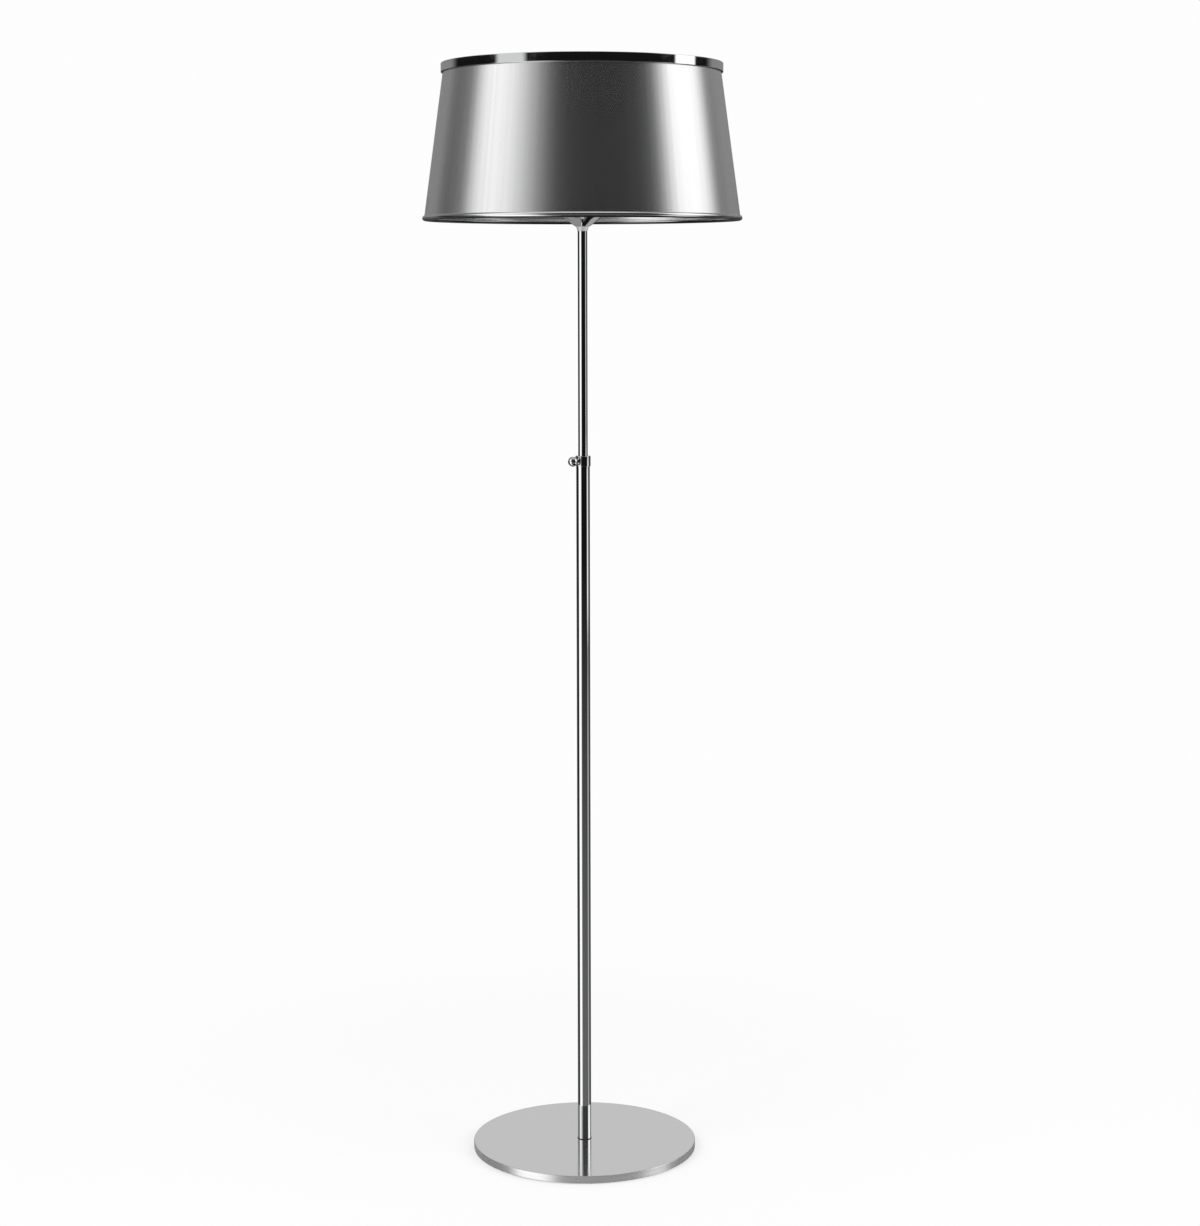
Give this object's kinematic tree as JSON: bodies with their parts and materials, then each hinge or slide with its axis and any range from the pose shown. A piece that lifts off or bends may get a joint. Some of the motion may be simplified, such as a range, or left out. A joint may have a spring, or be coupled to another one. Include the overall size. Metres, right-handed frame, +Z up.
{
  "type": "telescopic floor lamp",
  "caption": "Free-standing floor lamp: round weighted plate, sliding chrome mast with a clamping ball knob, and a conical satin metal shade.",
  "frame": {"origin": "on the floor under the centre of the round plate", "axes": "+Z up along the pole, +X to the right and -Y towards the viewer of the picture; the cable inlet looks along +Y"},
  "size_m": [0.4148, 0.4148, 1.4444],
  "materials": {
    "plate_steel": "satin top with a fine brushed grain, brushed edge",
    "pad_foam": "matt closed-cell foam",
    "zinc_steel": "bright zinc plate",
    "black_rubber": "matt black rubber",
    "chrome_tube": "polished chrome",
    "chrome_fittings": "polished chrome",
    "chrome_rim": "polished chrome",
    "white_nylon": "natural nylon",
    "white_thermoset": "moulded, glossy",
    "white_ceramic": "unglazed ceramic",
    "bright_brass": "bright brass",
    "plated_cap": "nickel-plated brass",
    "satin_shade": "satin metal with a fine upright grain",
    "opal_glass": "opal white"
  },
  "bodies": {
    "stand": {"base_plate": "plate_steel", "base_pad": "pad_foam", "base_bolt": "zinc_steel", "lock_washer": "zinc_steel", "foot_plug": "zinc_steel", "foot_gasket": "black_rubber", "cable_grommet": "black_rubber", "lower_tube": "chrome_tube", "guide_bush": "white_nylon", "collar": "chrome_fittings"},
    "brake": {"brake_pellet": "white_nylon"},
    "knob": {"clamp_knob": "chrome_fittings", "clamp_screw": "zinc_steel"},
    "slider": {"tail_bush": "white_nylon"},
    "mast": {"snap_rings": "zinc_steel", "upper_tube": "chrome_tube", "cable_liner": "white_nylon", "ferrule": "chrome_fittings", "bell": "chrome_fittings", "nipple": "zinc_steel", "nipple_nut": "zinc_steel", "holder_cap": "white_thermoset", "holder_core": "white_ceramic", "holder_contact": "bright_brass", "holder_thread": "bright_brass", "holder_sleeve": "white_thermoset", "clamp_rings": "white_thermoset", "shade_carrier": "zinc_steel", "shade_sheet": "satin_shade", "shade_bead": "satin_shade", "shade_rim": "chrome_rim", "shade_seam": "satin_shade", "bulb_cap": "plated_cap", "bulb_glass": "opal_glass"}
  },
  "joints": [
    {"name": "mast_slide", "type": "slide", "parent": "stand", "child": "slider", "axis": [0, 0, 1], "range_m": [-0.29, 0.17]},
    {"name": "mast_turn", "type": "hinge", "parent": "slider", "child": "mast", "pos_m": [0, 0, 0.93], "axis": [0, 0, 1], "range_deg": [-170, 170]},
    {"name": "brake_slide", "type": "slide", "parent": "stand", "child": "brake", "axis": [-0.7071, -0.7071, 0], "range_m": [0, 0.0008]},
    {"name": "knob_turn", "type": "hinge", "parent": "brake", "child": "knob", "pos_m": [0, 0, 0.9326], "axis": [-0.7071, -0.7071, 0], "range_deg": [0, 360]}
  ],
  "couplings": [
    {"joint": "knob_turn", "follows": "brake_slide", "rad_per_m": 7854}
  ]
}
